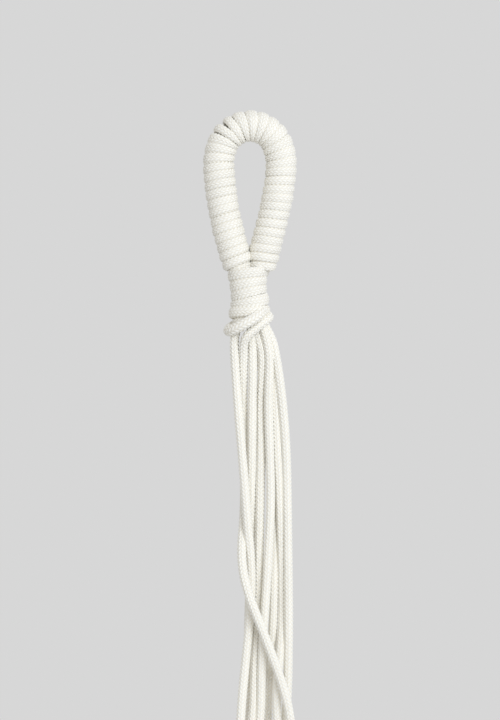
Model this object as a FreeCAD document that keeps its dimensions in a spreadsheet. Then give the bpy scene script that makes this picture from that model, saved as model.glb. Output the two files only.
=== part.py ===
import FreeCAD, Part
import math
import os

from FreeCAD import Placement, Rotation, Vector
import Sketcher

# A hanging plant holder knotted from cotton cord, hanging empty and closed.
# Millimetres, +Z up.  The origin is where a ceiling hook carries the loop: the top of the loop's
# eye.  The loop lies in the XZ plane and its front faces -Y.
#
# Four long cords are folded over the hook, so eight strands hang from the neck.  They are tied in
# pairs at four rim knots, cross to four base knots half way round, run together into one
# gathering wrap and end in a tassel.

os.makedirs("parts", exist_ok=True)
doc = FreeCAD.newDocument("plant_hanger")

# ---------------------------------------------------------------- driving dimensions

DIMENSIONS = [
    ("cord_diameter", 5.0, "a cord that hangs free"),
    ("packed_cord_diameter", 4.4, "the same cord squeezed inside a wrap"),
    ("crown_radius", 16.2, "centreline of the loop over the hook"),
    ("crown_drop", 7.5, "centre of that arc below the hook seat"),
    ("crown_overrun", 4.0, "degrees the arc runs on below its centre"),
    ("leg_radius", 290.0, "the long inward sweep of each leg"),
    ("leg_slope", 14.0, "degrees from plumb where a leg is steepest"),
    ("foot_radius", 38.0, "arc that brings a leg plumb again"),
    ("loop_thickness", 17.4, "over the wrapped cord"),
    ("core_thickness", 10.8, "four packed cords"),
    ("neck_top", 67.9, "below the hook seat"),
    ("neck_core_radius", 7.25, "eight packed cords"),
    ("neck_core_length", 32.6, "runs on under the last turns"),
    ("neck_radius", 10.2, "over the neck wrap"),
    ("hitch_drop", 96.5, "centre of the slanting last turn"),
    ("hitch_radius", 10.9, "centreline of that turn"),
    ("hitch_slant", 24.0, "degrees, higher on the right"),
    ("knot_radius", 9.2, "an overhand knot in two cords"),
    ("knot_height", 21.0, "top to bottom of such a knot"),
    ("knot_mouth", 5.6, "radius of the flat where cords go in"),
    ("knot_ring", 13.4, "knot centres from the hanger's axis"),
    ("rim_knot_top", 400.0, "below the hook seat"),
    ("base_knot_top", 508.5, "below the hook seat"),
    ("gather_top", 605.6, "below the hook seat"),
    ("gather_length", 38.0, "height of the gathering wrap"),
    ("gather_radius", 10.2, "over the gathering wrap"),
]

sheet = doc.addObject("Spreadsheet::Sheet", "driving")
sheet.Label = "driving dimensions"
for row, (alias, value, note) in enumerate(DIMENSIONS, start=1):
    sheet.set(f"A{row}", alias)
    sheet.set(f"B{row}", str(value))
    sheet.set(f"C{row}", note)
    sheet.setAlias(f"B{row}", alias)
doc.recompute()


def size(alias):
    """The number in one cell of the sheet."""
    return float(sheet.get(alias))


# ---------------------------------------------------------------- routes of the free cords

# Each route runs down the middle of a strand.  The eight strands leave the neck in a loose sheaf
# that leans to the right; front_strand_b starts behind its partner and comes out over all others.
HANGING_STRANDS = {
    "front_strand_a": [
        (-9.4, -3.0, -105.5), (-7.6, -4.4, -117), (-5.9, -5.9, -137), (-3.8, -7.0, -163),
        (-1.2, -7.4, -190), (0.9, -7.0, -214), (1.2, -6.8, -240), (-0.6, -7.2, -262),
        (-3.3, -8.2, -285), (-5.0, -9.8, -310), (-4.6, -12.0, -340), (-3.0, -13.4, -370),
        (-2.6, -13.4, -387), (-2.6, -13.4, -400),
    ],
    "front_strand_b": [
        (-4.0, 2.6, -105.5), (-4.2, 1.7, -117), (-4.4, 0.1, -137), (-5.0, -1.3, -163),
        (-4.7, -2.7, -190), (-4.8, -6.2, -212), (-3.4, -10.4, -230), (1.4, -12.6, -245),
        (7.0, -12.8, -259), (12.6, -12.4, -272), (17.6, -12.0, -286), (21.8, -11.6, -304),
        (22.0, -11.8, -326), (15.6, -12.6, -348), (6.4, -13.3, -367), (2.6, -13.4, -385),
        (2.6, -13.4, -400),
    ],
    "right_strand_a": [
        (12.1, -3.4, -105.5), (12.2, -4.0, -117), (13.8, -4.4, -137), (14.7, -4.6, -163),
        (16.3, -3.6, -190), (16.6, -2.6, -214), (17.7, -2.4, -240), (17.7, -2.6, -266),
        (16.6, -2.8, -300), (15.2, -2.9, -335), (13.8, -2.7, -364), (13.4, -2.6, -385),
        (13.4, -2.6, -400),
    ],
    "right_strand_b": [
        (13.3, 1.8, -105.5), (14.6, 1.2, -117), (17.2, 0.2, -137), (19.2, -0.9, -163),
        (20.2, 0.2, -190), (20.8, 0.8, -214), (20.8, 1.8, -240), (20.8, 1.7, -266),
        (20.2, 1.6, -300), (17.4, 2.4, -335), (13.9, 2.7, -364), (13.4, 2.6, -385),
        (13.4, 2.6, -400),
    ],
    "back_strand_a": [
        (1.4, 0.2, -105.5), (1.5, 0.6, -117), (1.8, 1.2, -137), (1.6, 1.8, -163),
        (2.4, 3.4, -190), (2.6, 5.0, -214), (2.0, 6.4, -240), (0.8, 7.4, -268),
        (-1.0, 9.0, -300), (-2.6, 11.6, -335), (-2.9, 13.2, -364), (-2.6, 13.4, -385),
        (-2.6, 13.4, -400),
    ],
    "back_strand_b": [
        (5.4, 6.6, -105.5), (6.6, 6.6, -117), (8.6, 6.2, -137), (10.4, 5.8, -163),
        (12.0, 5.2, -190), (13.0, 3.6, -214), (13.1, 2.6, -240), (12.9, 2.4, -268),
        (12.4, 4.0, -300), (8.6, 8.4, -335), (4.0, 12.4, -364), (2.6, 13.4, -385),
        (2.6, 13.4, -400),
    ],
    "left_strand_a": [
        (6.5, -4.8, -105.5), (6.6, -4.8, -117), (6.9, -5.0, -137), (6.7, -4.9, -163),
        (5.6, -3.3, -190), (5.3, -1.6, -214), (4.8, -0.9, -240), (2.2, -1.1, -266),
        (0.9, -2.3, -295), (-2.8, -2.8, -325), (-9.6, -2.7, -354), (-13.4, -2.6, -382),
        (-13.4, -2.6, -400),
    ],
    "left_strand_b": [
        (8.0, 0.3, -105.5), (8.6, 0.2, -117), (9.7, 0.3, -137), (10.2, 0.0, -163),
        (11.0, -0.8, -190), (10.4, -3.8, -214), (8.2, -5.6, -240), (7.0, -5.6, -266),
        (6.8, 0.2, -293), (-0.2, 2.5, -324), (-8.4, 2.5, -354), (-13.4, 2.6, -382),
        (-13.4, 2.6, -400),
    ],
}

# One net strand leaves the front rim knot for the base knot on its right.  The other seven are
# this one turned round the axis and mirrored.
NET_STRAND = [
    (2.6, -13.4, -422.4), (2.7, -14.0, -434), (4.1, -14.6, -454), (6.4, -13.4, -476),
    (7.5, -11.8, -494), (7.42, -11.52, -506.5),
]

# One strand leaves the base knot on the +X side for the gathering wrap, with its partner
# mirrored in the XZ plane.
BASE_STRAND = [
    (13.4, 2.6, -529.5), (13.6, 2.6, -540), (12.6, 3.1, -558), (9.4, 3.0, -578),
    (6.9, 2.7, -594), (6.5, 2.6, -604),
]

# The tassel's strands fall loose, no two alike.
TASSEL_STRANDS = [
    [(6.5, 2.6, -648), (7.0, 2.8, -664), (8.2, 3.0, -692), (8.6, 4.2, -726), (9.8, 5.0, -764),
     (10.6, 4.8, -800), (11.8, 5.4, -832)],
    [(2.6, 6.5, -648), (2.8, 7.2, -665), (3.4, 8.8, -694), (4.4, 9.4, -730), (4.2, 10.8, -768),
     (5.2, 12.2, -804), (5.4, 12.8, -835)],
    [(-2.6, 6.5, -648), (-2.7, 7.0, -663), (-2.6, 8.4, -690), (-3.8, 9.6, -724),
     (-4.0, 10.6, -760), (-3.2, 11.8, -796), (-3.6, 13.2, -827)],
    [(-6.5, 2.6, -648), (-7.1, 2.7, -666), (-8.4, 3.6, -696), (-9.6, 3.6, -733),
     (-10.2, 4.6, -770), (-11.6, 5.4, -806), (-12.0, 5.2, -836)],
    [(-6.5, -2.6, -648), (-7.0, -2.8, -664), (-7.8, -3.2, -691), (-9.2, -2.8, -725),
     (-10.4, -3.4, -762), (-11.0, -4.6, -799), (-12.4, -5.0, -830)],
    [(-2.6, -6.5, -648), (-2.8, -7.0, -665), (-2.4, -8.2, -693), (-3.4, -9.2, -728),
     (-4.6, -10.2, -765), (-4.4, -11.6, -800), (-5.4, -12.4, -829)],
    [(2.6, -6.5, -648), (2.7, -7.2, -663), (3.6, -8.4, -690), (3.8, -9.8, -726),
     (3.2, -11.0, -763), (4.2, -12.0, -801), (4.0, -13.4, -834)],
    [(6.5, -2.6, -648), (7.1, -2.7, -664), (8.6, -2.8, -692), (9.4, -3.8, -727),
     (9.2, -4.6, -764), (10.4, -5.6, -798), (11.6, -5.6, -828)],
]

SIDES = ["front", "right", "back", "left"]
CORNERS = ["front_right", "back_right", "back_left", "front_left"]
QUARTER = 90.0
ARC_SHARE = 0.45

pieces = []


def keep(obj, label):
    """List an object as a piece of the hanger, under the name its file gets."""
    obj.Label = label
    pieces.append(obj)
    return obj


def turned(points, degrees, mirrored=False):
    """A route turned round the hanger's axis, and mirrored in the XZ plane first if asked."""
    spin = Rotation(Vector(0, 0, 1), degrees)
    flip = -1 if mirrored else 1
    return [tuple(spin.multVec(Vector(x, flip * y, z))) for x, y, z in points]


def bend(before, corner, after):
    """The arc that rounds one corner of a route, as start, middle and end, and its radius."""
    back = before - corner
    ahead = after - corner
    reach = ARC_SHARE * min(back.Length, ahead.Length)
    half_turn = (math.pi - back.getAngle(ahead)) / 2
    radius = reach / math.tan(half_turn)
    start = corner + back.normalize() * reach
    end = corner + ahead.normalize() * reach
    inward = (start + end) * 0.5 - corner
    to_centre = radius / math.cos(half_turn)
    middle = corner + inward.normalize() * (to_centre - radius)
    return start, middle, end, radius


def route_edges(points):
    """Straight runs joined by tangent arcs, and the smallest radius among them."""
    places = [Vector(*p) for p in points]
    edges = []
    radii = []
    pen = places[0]
    for before, corner, after in zip(places[:-2], places[1:-1], places[2:]):
        start, middle, end, radius = bend(before, corner, after)
        edges.append(Part.LineSegment(pen, start).toShape())
        edges.append(Part.Arc(start, middle, end).toShape())
        radii.append(radius)
        pen = end
    edges.append(Part.LineSegment(pen, places[-1]).toShape())
    return edges, min(radii)


def sweep(name, edges, diameter_cell):
    """A round tube of a sheet diameter along joined edges."""
    route = doc.addObject("Part::Feature", f"{name}_route")
    route.Shape = Part.Wire(edges)
    section = doc.addObject("Part::Circle", f"{name}_section")
    section.setExpression("Radius", f"driving.{diameter_cell} / 2")
    first = edges[0]
    start = first.valueAt(first.FirstParameter)
    along = first.tangentAt(first.FirstParameter)
    section.Placement = Placement(start, Rotation(Vector(0, 0, 1), along))
    tube = doc.addObject("Part::Sweep", f"{name}_tube")
    tube.Sections = [section]
    tube.Spine = (route, [f"Edge{i}" for i in range(1, len(edges) + 1)])
    tube.Solid = True
    tube.Frenet = False
    return tube


def strand(name, points):
    """One free stretch of cord, kept as a piece.  Prints its length and tightest bend."""
    edges, radius = route_edges(points)
    tube = keep(sweep(name, edges, "cord_diameter"), name)
    length = sum(edge.Length for edge in edges)
    cords.append((tube, length, radius))
    return tube


cords = []

# ---------------------------------------------------------------- the hanging loop


def loop_half(side, inward=0.0, y=0.0):
    """Edges of half the loop's centreline, from the crown down one leg; side is +1 or -1.

    inward moves the line towards the eye, and y to the front or back.
    """
    crown = size("crown_radius") - inward
    top_z = -size("crown_drop")
    start_angle = math.radians(size("crown_overrun"))
    slope = math.radians(size("leg_slope"))
    leg = size("leg_radius") - inward
    foot = size("foot_radius") + inward
    leg_centre_x = (crown - leg) * math.cos(start_angle)
    leg_centre_z = top_z - (crown - leg) * math.sin(start_angle)
    foot_centre_x = leg_centre_x + (leg + foot) * math.cos(slope)
    foot_centre_z = leg_centre_z - (leg + foot) * math.sin(slope)

    def on_arc(centre_x, centre_z, radius, angle):
        return Vector(side * (centre_x + radius * math.cos(angle)), y,
                      centre_z + radius * math.sin(angle))

    def arc(centre_x, centre_z, radius, first, last):
        angles = (first, (first + last) / 2, last)
        return Part.Arc(*[on_arc(centre_x, centre_z, radius, a) for a in angles]).toShape()

    return [
        arc(0, top_z, crown, math.pi / 2, -start_angle),
        arc(leg_centre_x, leg_centre_z, leg, -start_angle, -slope),
        arc(foot_centre_x, foot_centre_z, foot, math.pi - slope, math.pi),
    ]


def loop_whole(inward=0.0, y=0.0):
    """Edges of the whole centreline, foot to foot, in order."""
    edges = loop_half(-1, inward, y) + loop_half(1, inward, y)
    return Part.Wire(Part.__sortEdges__(edges)).OrderedEdges


def core_cords():
    """The four cords that the loop's wrap hides, side by side two by two."""
    half = size("packed_cord_diameter") / 2 + 0.02
    corners = [(half, -half), (-half, -half), (half, half), (-half, half)]
    for number, (inward, y) in enumerate(corners, start=1):
        name = f"core_cord_{number}"
        keep(sweep(name, loop_whole(inward, y), "packed_cord_diameter"), name)


def loop_wrap():
    """The close winding round the loop, as a sleeve over the four cords."""
    halves = [sweep(f"loop_{word}", loop_half(side), "loop_thickness")
              for word, side in (("left", -1), ("right", 1))]
    outside = doc.addObject("Part::MultiFuse", "loop_outside")
    outside.Shapes = halves
    inside = sweep("loop_inside", loop_whole(), "core_thickness")
    sleeve = doc.addObject("Part::Cut", "loop_sleeve")
    sleeve.Base = outside
    sleeve.Tool = inside
    keep(sleeve, "loop_wrap")


# ---------------------------------------------------------------- turned and padded pieces


def plane_of(body, role):
    """One of a body's own origin planes."""
    return next(f for f in body.Origin.OriginFeatures if f.Role == role)


def sketch_on(body, role):
    """An empty sketch on one of a body's origin planes."""
    sketch = body.newObject("Sketcher::SketchObject", f"{body.Name}_outline")
    sketch.AttachmentSupport = [(plane_of(body, role), "")]
    sketch.MapMode = "FlatFace"
    return sketch


def add_circle(sketch, name, cell):
    """A circle about the sketch's origin, its radius bound to the sheet."""
    number = sketch.addGeometry(Part.Circle(Vector(0, 0, 0), Vector(0, 0, 1), size(cell)))
    sketch.addConstraint(Sketcher.Constraint("Coincident", number, 3, -1, 1))
    bound = sketch.addConstraint(Sketcher.Constraint("Radius", number, size(cell)))
    sketch.renameConstraint(bound, name)
    sketch.setExpression(f"Constraints.{name}", f"driving.{cell}")


def round_body(name, outer_cell, length_cell, inner_cell=None):
    """A plain round bar, or a sleeve where an inner radius is given, standing on Z = 0."""
    body = doc.addObject("PartDesign::Body", name)
    sketch = sketch_on(body, "XY_Plane")
    add_circle(sketch, "outer", outer_cell)
    if inner_cell:
        add_circle(sketch, "inner", inner_cell)
    pad = body.newObject("PartDesign::Pad", f"{name}_pad")
    pad.Profile = sketch
    pad.setExpression("Length", f"driving.{length_cell}")
    body.Tip = pad
    return body


def knot(name, top_cell, degrees):
    """An overhand knot as a barrel with flat mouths, centred on the knots' ring."""
    body = doc.addObject("PartDesign::Body", name)
    sketch = sketch_on(body, "XZ_Plane")
    mouth, height, radius = size("knot_mouth"), size("knot_height"), size("knot_radius")
    foot, head = Vector(mouth, 0, 0), Vector(mouth, height, 0)
    axis_foot, axis_head = Vector(0, 0, 0), Vector(0, height, 0)
    sketch.addGeometry([
        Part.LineSegment(axis_foot, foot),
        Part.Arc(foot, Vector(radius, height / 2, 0), head),
        Part.LineSegment(head, axis_head),
        Part.LineSegment(axis_head, axis_foot),
    ])
    floor, bulge, lid, axis = range(4)
    foot_end, head_end = arc_ends(sketch, bulge, foot)
    sketch.addConstraint([
        Sketcher.Constraint("Coincident", floor, 1, -1, 1),
        Sketcher.Constraint("Coincident", floor, 2, bulge, foot_end),
        Sketcher.Constraint("Coincident", bulge, head_end, lid, 1),
        Sketcher.Constraint("Coincident", lid, 2, axis, 1),
        Sketcher.Constraint("Coincident", axis, 2, floor, 1),
        Sketcher.Constraint("Horizontal", floor),
        Sketcher.Constraint("Horizontal", lid),
        Sketcher.Constraint("Vertical", axis),
    ])
    rise = "(driving.knot_radius - driving.knot_mouth)"
    curve = f"((driving.knot_height / 2) ^ 2 + {rise} ^ 2) / (2 * {rise})"
    bow = ((height / 2) ** 2 + (radius - mouth) ** 2) / (2 * (radius - mouth))
    bound = [
        ("mouth", Sketcher.Constraint("DistanceX", floor, 1, floor, 2, mouth),
         "driving.knot_mouth"),
        ("height", Sketcher.Constraint("DistanceY", axis, 2, axis, 1, height),
         "driving.knot_height"),
        ("curve", Sketcher.Constraint("Radius", bulge, bow), curve),
    ]
    for word, constraint, expression in bound:
        number = sketch.addConstraint(constraint)
        sketch.renameConstraint(number, word)
        sketch.setExpression(f"Constraints.{word}", expression)
    turn = body.newObject("PartDesign::Revolution", f"{name}_turn")
    turn.Profile = sketch
    turn.ReferenceAxis = (sketch, ["V_Axis"])
    turn.Angle = 360.0
    body.Tip = turn
    out = Rotation(Vector(0, 0, 1), degrees).multVec(Vector(size("knot_ring"), 0, 0))
    bottom = -size(top_cell) - height
    body.Placement = Placement(out + Vector(0, 0, bottom), Rotation())
    keep(body, name)


def arc_ends(sketch, number, first):
    """Which ends of an arc, 1 or 2, are its first and last points as drawn."""
    starts_first = (sketch.getPoint(number, 1) - first).Length < 1e-6
    return (1, 2) if starts_first else (2, 1)


def neck():
    """The packed strands in the neck, the winding round them and its slanting last turn."""
    top = size("neck_top")
    core = round_body("neck_core", "neck_core_radius", "neck_core_length")
    core.Placement = Placement(Vector(0, 0, -top - size("neck_core_length")), Rotation())
    keep(core, "neck_core")

    sleeve = round_body("neck_sleeve", "neck_radius", "neck_core_length", "neck_core_radius")
    sleeve.Placement = core.Placement
    slant = Rotation(Vector(0, 1, 0), -size("hitch_slant"))
    centre = Vector(0, 0, -size("hitch_drop"))
    below = doc.addObject("Part::Box", "below_the_hitch")
    below.Length = below.Width = below.Height = 60
    clear = size("cord_diameter") / 2 + 0.1
    below.Placement = Placement(centre + slant.multVec(Vector(-30, -30, clear - 60)), slant)
    wrap = doc.addObject("Part::Cut", "neck_winding")
    wrap.Base = sleeve
    wrap.Tool = below
    keep(wrap, "neck_wrap")

    hitch = doc.addObject("Part::Torus", "hitch")
    hitch.setExpression("Radius1", "driving.hitch_radius")
    hitch.setExpression("Radius2", "driving.cord_diameter / 2")
    hitch.Placement = Placement(centre, slant)
    keep(hitch, "hitch_turn")


def gather():
    """The packed strands under the pot and the winding that gathers them."""
    bottom = Placement(Vector(0, 0, -size("gather_top") - size("gather_length")), Rotation())
    core = round_body("gather_core", "neck_core_radius", "gather_length")
    wrap = round_body("gather_wrap", "gather_radius", "gather_length", "neck_core_radius")
    for body in (core, wrap):
        body.Placement = bottom
        keep(body, body.Name)


# ---------------------------------------------------------------- the hanger, from the top down

core_cords()
loop_wrap()
neck()

for name, points in HANGING_STRANDS.items():
    strand(name, points)

for number, side in enumerate(SIDES):
    knot(f"rim_knot_{side}", "rim_knot_top", (number - 1) * QUARTER)
    strand(f"net_{side}_right", turned(NET_STRAND, number * QUARTER))
    strand(f"net_{side}_left", turned(NET_STRAND, (number + 2) * QUARTER, mirrored=True))

for number, corner in enumerate(CORNERS):
    heading = (number - 0.5) * QUARTER
    knot(f"base_knot_{corner}", "base_knot_top", heading)
    strand(f"base_{corner}_a", turned(BASE_STRAND, heading))
    strand(f"base_{corner}_b", turned(BASE_STRAND, heading, mirrored=True))

gather()

for number, points in enumerate(TASSEL_STRANDS, start=1):
    strand(f"tassel_strand_{number}", points)

doc.recompute()

# ---------------------------------------------------------------- checks and files

for obj in doc.Objects:
    if {"Invalid", "Error"} & set(obj.State):
        raise RuntimeError(f"{obj.Label} failed: {obj.State}")
for piece in pieces:
    if piece.Shape.isNull() or not piece.Shape.isValid() or not piece.Shape.Solids:
        raise RuntimeError(f"{piece.Label} has no valid solid")

section_area = math.pi * (size("cord_diameter") / 2) ** 2
for tube, length, radius in cords:
    share = tube.Shape.Volume / (section_area * length)
    print(f"{tube.Label}: {length:.1f} long, tightest radius {radius:.1f}, volume {share:.4f}")
    if abs(share - 1) > 0.01:
        raise RuntimeError(f"{tube.Label} is not a whole tube")

for piece in pieces:
    piece.Shape.exportStep(f"parts/{piece.Label}.step")
print(f"{len(pieces)} pieces")
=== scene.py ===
"""A hanging plant holder of cotton cord: its cords, wraps, knots and finish round the CAD frame."""

import math

import bpy
import numpy as np
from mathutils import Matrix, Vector


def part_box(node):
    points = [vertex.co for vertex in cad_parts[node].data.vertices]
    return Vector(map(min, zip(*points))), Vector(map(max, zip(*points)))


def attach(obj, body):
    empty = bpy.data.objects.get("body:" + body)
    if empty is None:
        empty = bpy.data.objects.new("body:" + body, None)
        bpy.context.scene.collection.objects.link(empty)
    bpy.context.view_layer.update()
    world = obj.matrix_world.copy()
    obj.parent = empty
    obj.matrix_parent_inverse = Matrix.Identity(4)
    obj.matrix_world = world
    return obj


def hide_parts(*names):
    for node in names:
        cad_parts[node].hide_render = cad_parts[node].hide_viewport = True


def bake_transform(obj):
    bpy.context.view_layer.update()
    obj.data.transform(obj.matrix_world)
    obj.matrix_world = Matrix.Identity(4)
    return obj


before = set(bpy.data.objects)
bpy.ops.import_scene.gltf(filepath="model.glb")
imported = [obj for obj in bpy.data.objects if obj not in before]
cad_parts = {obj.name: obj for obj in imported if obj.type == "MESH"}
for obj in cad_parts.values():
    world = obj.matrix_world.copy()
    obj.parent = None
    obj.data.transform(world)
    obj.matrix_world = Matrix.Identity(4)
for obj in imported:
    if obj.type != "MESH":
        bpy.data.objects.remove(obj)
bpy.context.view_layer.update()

bl_info = {
    "name": "Knotted Plant Hanger",
    "version": (1, 0, 0),
    "blender": (4, 5, 0),
    "location": "3D View > Sidebar > Plant Hanger",
    "description": "Braided cotton cords, wraps, knots and a tassel round a packed frame",
    "category": "Object",
}

FRONT = np.array([0.0, -1.0, 0.0])
SIDES = ["front", "right", "back", "left"]
CORNERS = ["front_right", "back_right", "back_left", "front_left"]
QUARTER = math.pi / 2
FULL_TURN = 2 * math.pi

# ---------------------------------------------------------------- routes, in metres

# The eight strands under the neck.  The first two points of each lie inside the neck's wrap.
HANGING_STRANDS = {
    "front_strand_a": [
        (-.0044, -.0012, -.0910), (-.0054, -.0022, -.0968), (-.0080, -.0038, -.1036),
        (-.0076, -.0042, -.1160), (-.0061, -.0050, -.1370), (-.0039, -.0056, -.1630),
        (-.0018, -.0060, -.1880), (-.0006, -.0058, -.2050), (.0008, -.0036, -.2180),
        (.0015, -.0024, -.2340), (.0004, -.0034, -.2540), (-.0018, -.0052, -.2740),
        (-.0038, -.0072, -.2940), (-.0050, -.0096, -.3160), (-.0046, -.0120, -.3400),
        (-.0030, -.0134, -.3700), (-.0026, -.0134, -.3870), (-.0026, -.0134, -.4000),
    ],
    "front_strand_b": [
        (.0086, .0040, -.0914), (.0110, -.0002, -.0921), (.0102, -.0064, -.0936),
        (.0068, -.0088, -.0962), (.0026, -.0090, -.0994), (-.0012, -.0088, -.1026),
        (-.0030, -.0066, -.1066), (-.0030, -.0036, -.1130), (-.0032, -.0012, -.1240),
        (-.0033, .0006, -.1400), (-.0028, .0010, -.1630), (-.0023, .0020, -.1870),
        (-.0030, -.0006, -.2030), (-.0041, -.0046, -.2130), (-.0036, -.0086, -.2260),
        (-.0004, -.0104, -.2390), (.0056, -.0118, -.2540), (.0122, -.0122, -.2710),
        (.0176, -.0120, -.2860), (.0222, -.0118, -.3040), (.0226, -.0118, -.3260),
        (.0156, -.0126, -.3480), (.0064, -.0133, -.3670), (.0026, -.0134, -.3850),
        (.0026, -.0134, -.4000),
    ],
    "right_strand_a": [
        (.0056, .0040, -.0910), (.0080, .0030, -.0980), (.0110, .0002, -.1055),
        (.0130, -.0014, -.1170), (.0142, -.0021, -.1370), (.0151, -.0021, -.1630),
        (.0165, -.0020, -.1900), (.0172, -.0016, -.2140), (.0178, -.0008, -.2380),
        (.0177, -.0010, -.2570), (.0160, -.0036, -.2740), (.0145, -.0060, -.2900),
        (.0152, -.0064, -.3120), (.0152, -.0029, -.3400), (.0138, -.0027, -.3640),
        (.0134, -.0026, -.3850), (.0134, -.0026, -.4000),
    ],
    "right_strand_b": [
        (.0066, -.0004, -.0910), (.0082, -.0006, -.0972), (.0126, -.0028, -.1048),
        (.0150, -.0038, -.1170), (.0177, -.0042, -.1370), (.0198, -.0030, -.1630),
        (.0203, -.0034, -.1900), (.0206, -.0042, -.2140), (.0209, -.0044, -.2400),
        (.0209, -.0040, -.2640), (.0206, -.0022, -.2860), (.0194, -.0006, -.3080),
        (.0174, .0024, -.3350), (.0139, .0027, -.3640), (.0134, .0026, -.3850),
        (.0134, .0026, -.4000),
    ],
    "back_strand_a": [
        (.0004, -.0038, -.0910), (.0010, -.0036, -.0980), (.0016, -.0030, -.1055),
        (.0020, -.0030, -.1170), (.0017, -.0032, -.1370), (.0015, -.0026, -.1630),
        (.0011, -.0008, -.1880), (.0008, .0008, -.2060), (.0004, .0018, -.2220),
        (.0002, .0030, -.2380), (-.0004, .0042, -.2580), (-.0008, .0062, -.2850),
        (-.0013, .0088, -.3100), (-.0026, .0116, -.3350), (-.0029, .0132, -.3640),
        (-.0026, .0134, -.3850), (-.0026, .0134, -.4000),
    ],
    "back_strand_b": [
        (.0024, .0052, -.0910), (.0038, .0060, -.0980), (.0054, .0064, -.1055),
        (.0066, .0052, -.1170), (.0080, .0046, -.1370), (.0104, .0038, -.1630),
        (.0126, .0024, -.1900), (.0136, .0006, -.2140), (.0132, -.0006, -.2360),
        (.0128, -.0002, -.2560), (.0112, .0026, -.2780), (.0102, .0050, -.3000),
        (.0082, .0086, -.3350), (.0040, .0124, -.3640), (.0026, .0134, -.3850),
        (.0026, .0134, -.4000),
    ],
    "left_strand_a": [
        (.0024, .0006, -.0910), (.0036, -.0022, -.0980), (.0052, -.0034, -.1045),
        (.0075, -.0028, -.1130), (.0068, -.0010, -.1270), (.0060, .0000, -.1400),
        (.0064, -.0008, -.1630), (.0058, -.0018, -.1900), (.0055, -.0016, -.2080),
        (.0053, -.0008, -.2220), (.0052, .0008, -.2380), (.0040, -.0006, -.2580),
        (.0030, -.0022, -.2820), (.0022, -.0026, -.3060), (-.0030, -.0024, -.3300),
        (-.0094, -.0028, -.3540), (-.0134, -.0026, -.3820), (-.0134, -.0026, -.4000),
    ],
    "left_strand_b": [
        (.0048, -.0026, -.0910), (.0072, -.0046, -.0980), (.0094, -.0052, -.1045),
        (.0112, -.0046, -.1150), (.0102, -.0038, -.1370), (.0110, -.0042, -.1630),
        (.0116, -.0044, -.1900), (.0107, -.0046, -.2090), (.0099, -.0044, -.2240),
        (.0090, -.0048, -.2400), (.0074, -.0056, -.2600), (.0065, -.0044, -.2850),
        (.0062, -.0038, -.3060), (.0022, -.0010, -.3300), (-.0060, .0016, -.3540),
        (-.0132, .0026, -.3820), (-.0134, .0026, -.4000),
    ],
}

# The net strand that leaves the front rim knot for the base knot on its right.
NET_STRAND = [
    (.0026, -.0134, -.4224), (.0027, -.0140, -.4340), (.0041, -.0146, -.4540),
    (.0064, -.0134, -.4760), (.0075, -.0118, -.4940), (.0074, -.0115, -.5065),
]

# One of the pair that leaves the base knot on the +X side for the gathering wrap.
BASE_STRAND = [
    (.0134, .0026, -.5295), (.0136, .0026, -.5400), (.0126, .0031, -.5580),
    (.0094, .0030, -.5780), (.0069, .0027, -.5940), (.0065, .0026, -.6040),
]

TASSEL_STRANDS = [
    [(.0065, .0026, -.6480), (.0070, .0028, -.6640), (.0082, .0030, -.6920),
     (.0086, .0042, -.7260), (.0098, .0050, -.7640), (.0106, .0048, -.8000),
     (.0118, .0054, -.8320)],
    [(.0026, .0065, -.6480), (.0028, .0072, -.6650), (.0034, .0088, -.6940),
     (.0044, .0094, -.7300), (.0042, .0108, -.7680), (.0052, .0122, -.8040),
     (.0054, .0128, -.8350)],
    [(-.0026, .0065, -.6480), (-.0027, .0070, -.6630), (-.0026, .0084, -.6900),
     (-.0038, .0096, -.7240), (-.0040, .0106, -.7600), (-.0032, .0118, -.7960),
     (-.0036, .0132, -.8270)],
    [(-.0065, .0026, -.6480), (-.0071, .0027, -.6660), (-.0084, .0036, -.6960),
     (-.0096, .0036, -.7330), (-.0102, .0046, -.7700), (-.0116, .0054, -.8060),
     (-.0120, .0052, -.8360)],
    [(-.0065, -.0026, -.6480), (-.0070, -.0028, -.6640), (-.0078, -.0032, -.6910),
     (-.0092, -.0028, -.7250), (-.0104, -.0034, -.7620), (-.0110, -.0046, -.7990),
     (-.0124, -.0050, -.8300)],
    [(-.0026, -.0065, -.6480), (-.0028, -.0070, -.6650), (-.0024, -.0082, -.6930),
     (-.0034, -.0092, -.7280), (-.0046, -.0102, -.7650), (-.0044, -.0116, -.8000),
     (-.0054, -.0124, -.8290)],
    [(.0026, -.0065, -.6480), (.0027, -.0072, -.6630), (.0036, -.0084, -.6900),
     (.0038, -.0098, -.7260), (.0032, -.0110, -.7630), (.0042, -.0120, -.8010),
     (.0040, -.0134, -.8340)],
    [(.0065, -.0026, -.6480), (.0071, -.0027, -.6640), (.0086, -.0028, -.6920),
     (.0094, -.0038, -.7270), (.0092, -.0046, -.7640), (.0104, -.0056, -.7980),
     (.0116, -.0056, -.8280)],
]

# The loop's own centreline, up the left leg, over the hook and down the right leg.
LOOP_LINE = [
    (-.0052, -.0014, -.0685), (-.0068, -.0012, -.0620), (-.0092, -.0006, -.0540),
    (-.0118, -.0001, -.0435), (-.0142, .0000, -.0320), (-.0156, .0000, -.0200),
    (-.0164, .0000, -.0076), (-.0117, .0000, .0046), (.0006, .0000, .0098),
    (.0126, .0000, .0046), (.0174, .0000, -.0076), (.0166, .0000, -.0200),
    (.0146, .0000, -.0320), (.0120, .0001, -.0435), (.0092, .0006, -.0540),
    (.0072, .0012, -.0620), (.0058, .0014, -.0685),
]

# The neck's centreline, from between the legs down to the slanting last turn.
NECK_LINE = [
    (-.0008, .0000, -.0655), (-.0008, .0000, -.0720), (-.0003, .0000, -.0780),
    (.0007, .0000, -.0850), (.0003, .0000, -.0900), (-.0002, .0000, -.0976),
]

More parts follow.
